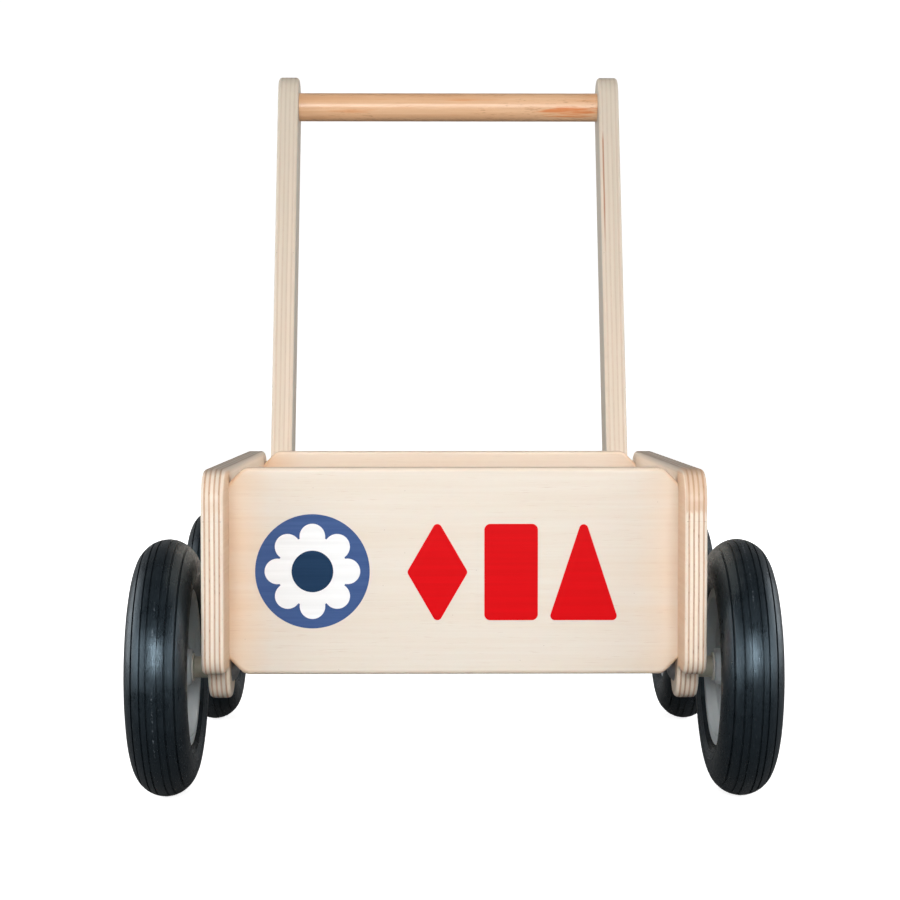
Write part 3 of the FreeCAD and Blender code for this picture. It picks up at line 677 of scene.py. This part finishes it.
CAP_SECTION = [
    (4.0, 15.45, 0), (4.0, 16.95, 0.2), (10.0, 16.95, 0), (10.0, 20.3, 0.1), (11.0, 20.5, 0.5),
    (12.4, 19.7, 0.8), (13.2, 18.6, 0.6), (13.4, 16.0, 0.4), (13.1, 15.4, 0.3), (13.6, 14.6, 0.4),
    (15.2, 10.0, 6.0), (16.3, 3.0, 4.0), (16.4, 0.01, 0), (14.9, 0.01, 0), (14.0, 11.0, 1.0),
    (11.0, 15.45, 0.6),
]


def make_rim(row, side, way, material):
    low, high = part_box(f"tyre_{row}_{side}")
    piece = lathe(f"rim_{row}_{side}_moulding", rounded(RIM_SECTION), (low + high) / 2, way, RIM_SEGMENTS)
    stand_for(piece, f"rim_{row}_{side}", f"wheel_{row}_{side}", material)


def make_cap(row, side, way, material):
    low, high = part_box(f"tyre_{row}_{side}")
    piece = lathe(f"hub_cap_{row}_{side}_moulding", rounded(CAP_SECTION), (low + high) / 2, way, CAP_SEGMENTS)
    stand_for(piece, f"hub_cap_{row}_{side}", f"wheel_{row}_{side}", material)


# ---------------------------------------------------------------- handle bar

BAR_SEGMENTS = 128
BAR_STEPS = 96               # along its length
BAR_BORE = 3.0               # radius of its bore, which the handle screws are in and the uprights close off


def make_bar(material):
    """Sanded dowel: a slightly uneven cylinder whose ends are inside the uprights."""
    low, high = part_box("handle_bar")
    centre = (low + high) / 2
    half = (high.x - low.x) / 2 / MM
    radius = (high.z - low.z) / 2 / MM
    rings = [(-half, BAR_BORE)]
    for step in range(BAR_STEPS + 1):
        x = -half + 2 * half * step / BAR_STEPS
        rings.append((x, radius - 0.03 - 0.02 * math.sin(0.21 * x) - 0.01 * math.sin(0.53 * x + 1)))
    rings.append((half, BAR_BORE))
    piece = lathe("handle_bar_dowel", rings, centre, -1, BAR_SEGMENTS)
    stand_for(piece, "handle_bar", "wagon", material)


# ---------------------------------------------------------------- the whole walker

LEAN = math.radians(16.5)
UPRIGHT_CONTRAST = 0.34


def paint_plywood():
    """Each plywood piece with its own veneers: layers through its thickness, grain along its length."""
    plain = (FACE, FACE)
    inside = toned(FACE, 0.35, WARM_FACE)
    pieces = [
        ("front_panel", 1, 0, (FACE, inside), 0), ("rear_panel", 1, 0, (inside, FACE), 0),
        ("floor_panel", 2, 0, plain, 0),
        ("side_panel_left", 0, 1, (FACE, inside), 0.15), ("side_panel_right", 0, 1, (inside, FACE), 0.5),
    ]
    for seed, (node, thickness_axis, grain_axis, faces, honey) in enumerate(pieces, start=1):
        paint(node, plywood(f"{node}_birch", seed, node, thickness_axis, grain_axis, faces, honey=honey))
    for seed, (side, way) in enumerate(SIDES, start=7):
        node = f"upright_{side}"
        # Each upright's inner face carries painted shade as its grey face colour
        faces = (FACE, INNER_FACE_SHADE) if way < 0 else (INNER_FACE_SHADE, FACE)
        paint(node, plywood(f"{node}_birch", seed, node, 0, 2, faces, UPRIGHT_CONTRAST, LEAN, way > 0))


def paint_hardware():
    zinc = steel("zinc_plating")
    for node in (
        "panel_screws", "floor_screws", "handle_screws", "upright_bolts", "upright_sleeve_nuts",
        "front_axle_bolts", "rear_axle_bolts", "axle_washers", "axle_nuts",
    ):
        paint(node, zinc)
    spacer = plastic("spacer_plastic", srgb(174, 170, 154), srgb(186, 182, 166), 5)
    paint("axle_spacers", spacer)
    nylon = plastic("nylon", srgb(226, 224, 214), srgb(238, 236, 228), 6)
    for row in ROWS:
        for side, _ in SIDES:
            paint(f"bush_{row}_{side}", nylon)


def paint_decals():
    paint("badge_disc", vinyl("blue_film", srgb(62, 87, 137), srgb(70, 95, 145), 1))
    paint("badge_flower", vinyl("white_film", srgb(242, 242, 242), srgb(250, 250, 250), 2))
    paint("badge_centre", vinyl("navy_film", srgb(23, 52, 83), srgb(30, 59, 91), 3))
    red = vinyl("red_film", srgb(213, 0, 8), srgb(221, 0, 12), 4)
    for node in ("decal_diamond", "decal_block", "decal_triangle"):
        paint(node, red)


def make_wheels():
    black = rubber("tyre_rubber")
    wheel_plastic = plastic("wheel_plastic", srgb(184, 191, 194), srgb(197, 203, 205), 1)
    cap_plastic = plastic("cap_plastic", srgb(182, 188, 191), srgb(194, 200, 202), 2)
    seed = 20
    for row in ROWS:
        for side, way in SIDES:
            seed += 1
            make_tyre(row, side, way, seed, black)
            make_rim(row, side, way, wheel_plastic)
            make_cap(row, side, way, cap_plastic)


# ---------------------------------------------------------------- studio

FLOOR_PAINT = (0.9, 0.9, 0.9, 1)          # what the camera sees
FLOOR_BOUNCE = (0.18, 0.18, 0.18, 1)      # what lights the walker
FLOOR_REACH = 40.0        # m from the middle to each edge
FLOOR_GLOW = 0.8          # near the walker, rising to 1 over these distances in metres
FLOOR_FADE = (0.8, 4.0)
SURROUND_LOW = 0.24       # near the horizon, falling towards the zenith
SURROUND_HIGH = 0.12
SURROUND_FADE = (0.05, 0.8)
WHITE_LEVEL = 1.05
LENS = 80                 # mm, on a sensor 36 mm wide
CAMERA_PLACE = (-0.0146, -1.5518, 0.2879)
CAMERA_DIP = 0.038        # rad below the horizontal
CAMERA_TURN = -0.009      # rad about Z


def floor_and_world():
    """Pale floor that runs out of sight, and a soft surround. Both look white, and both light the walker less
    than they look: a dim surround, as in a studio with dark walls, keeps black rubber black."""
    mesh = bpy.data.meshes.new("studio_floor")
    reach = FLOOR_REACH
    corners = [(-reach, -reach, 0), (reach, -reach, 0), (reach, reach, 0), (-reach, reach, 0)]
    mesh.from_pydata(corners, [], [(0, 1, 2, 3)])
    floor = bpy.data.objects.new("studio_floor", mesh)
    bpy.context.scene.collection.objects.link(floor)
    paint = bpy.data.materials.new("studio_floor_paint")
    paint.use_nodes = True
    mesh.materials.append(paint)
    nodes, links = paint.node_tree.nodes, paint.node_tree.links
    nodes.remove(nodes["Principled BSDF"])
    dim = nodes.new("ShaderNodeBsdfDiffuse")
    dim.inputs["Color"].default_value = FLOOR_BOUNCE
    bright = nodes.new("ShaderNodeBsdfDiffuse")
    bright.inputs["Color"].default_value = FLOOR_PAINT
    place = nodes.new("ShaderNodeTexCoord")
    distance = nodes.new("ShaderNodeVectorMath")
    distance.operation = "LENGTH"
    links.new(place.outputs["Object"], distance.inputs[0])
    fade = nodes.new("ShaderNodeMapRange")
    links.new(distance.outputs["Value"], fade.inputs[0])
    for value, socket in zip((*FLOOR_FADE, FLOOR_GLOW, 1.0), fade.inputs[1:5]):
        socket.default_value = value
    glow = nodes.new("ShaderNodeEmission")
    links.new(fade.outputs[0], glow.inputs["Strength"])
    seen = nodes.new("ShaderNodeAddShader")
    links.new(bright.outputs[0], seen.inputs[0])
    links.new(glow.outputs[0], seen.inputs[1])
    by_ray(nodes, links, dim, seen, nodes["Material Output"])

    world = bpy.data.worlds.new("studio")
    bpy.context.scene.world = world
    world.use_nodes = True
    nodes, links = world.node_tree.nodes, world.node_tree.links
    place = nodes.new("ShaderNodeTexCoord")
    split = nodes.new("ShaderNodeSeparateXYZ")
    ramp = nodes.new("ShaderNodeValToRGB")
    links.new(place.outputs["Generated"], split.inputs[0])
    links.new(split.outputs[2], ramp.inputs[0])
    levels = (SURROUND_LOW, SURROUND_HIGH)
    for element, position, grey in zip(ramp.color_ramp.elements, SURROUND_FADE, levels):
        element.position = position
        element.color = (grey, grey, grey, 1)
    surround = nodes["Background"]
    links.new(ramp.outputs[0], surround.inputs["Color"])
    white = nodes.new("ShaderNodeBackground")
    white.inputs["Color"].default_value = (1, 1, 1, 1)
    white.inputs["Strength"].default_value = WHITE_LEVEL
    by_ray(nodes, links, surround, white, nodes["World Output"])


def by_ray(nodes, links, for_light, for_camera, output):
    """The first shader lights the walker, and the second is what the camera sees."""
    path = nodes.new("ShaderNodeLightPath")
    choose = nodes.new("ShaderNodeMixShader")
    links.new(path.outputs["Is Camera Ray"], choose.inputs[0])
    links.new(for_light.outputs[0], choose.inputs[1])
    links.new(for_camera.outputs[0], choose.inputs[2])
    links.new(choose.outputs[0], output.inputs["Surface"])


def softbox(name, place, aim, size, power):
    """Rectangular area light at place, turned towards aim. Metres and watts."""
    light = bpy.data.lights.new(name, "AREA")
    light.shape = "RECTANGLE"
    light.size, light.size_y = size
    light.energy = power
    lamp = bpy.data.objects.new(name, light)
    lamp.location = place
    lamp.rotation_euler = (Vector(aim) - Vector(place)).to_track_quat("-Z", "Y").to_euler()
    bpy.context.scene.collection.objects.link(lamp)
    return lamp


def lights():
    aim = (0, 0, 0.2)
    softbox("key_left", (-1.75, -1.2, 0.4), aim, (1.1, 1.1), 14)
    softbox("key_right", (1.75, -1.2, 0.4), aim, (1.1, 1.1), 12)
    softbox("front_fill", (0, -2.8, 0.95), aim, (1.6, 0.7), 54)
    for side, way in SIDES:
        softbox(f"side_{side}", (way * 2.3, 0.4, 0.7), aim, (2.0, 1.6), 22)
        back = softbox(f"back_{side}", (way * 1.6, 2.2, 0.8), aim, (1.2, 1.0), 24)
        back.visible_glossy = False     # no rim light along the tyres' outlines
    top = softbox("top", (0, 0.5, 2.2), aim, (1.4, 1.2), 4)
    top.visible_glossy = False


def camera():
    data = bpy.data.cameras.new("camera")
    data.lens = LENS
    data.sensor_width = 36
    data.clip_end = 200
    made = bpy.data.objects.new("camera", data)
    made.location = CAMERA_PLACE
    made.rotation_euler = (math.pi / 2 - CAMERA_DIP, 0, CAMERA_TURN)
    bpy.context.scene.collection.objects.link(made)
    bpy.context.scene.camera = made


def main():
    bpy.context.scene.view_settings.view_transform = "Standard"
    paint_plywood()
    paint_hardware()
    paint_decals()
    make_wheels()
    make_bar(beech("beech_dowel"))
    floor_and_world()
    lights()
    camera()


main()
